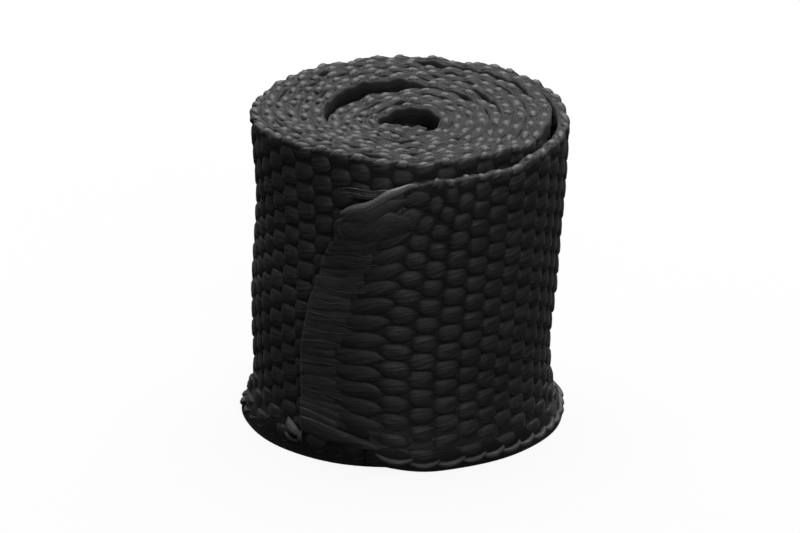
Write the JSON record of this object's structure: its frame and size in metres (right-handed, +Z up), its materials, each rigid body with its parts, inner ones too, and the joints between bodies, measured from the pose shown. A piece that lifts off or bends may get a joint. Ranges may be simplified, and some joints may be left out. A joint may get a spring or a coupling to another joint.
{
  "type": "exhaust heat wrap roll",
  "caption": "Short roll of flat black woven heat-wrap tape, standing on its end, with a small bore and a frayed loose outer end.",
  "frame": {"origin": "centre of the bounding box at floor level, on the standing end", "axes": "+Z up through the bore, along the tape's width; -Y towards the loose frayed end, which lies at the front left"},
  "size_m": [0.0526, 0.0528, 0.0532],
  "materials": {
    "woven_tape": "matt black woven fibreglass yarn"
  },
  "bodies": {
    "root": {"heat_wrap_roll": "woven_tape"}
  },
  "joints": []
}
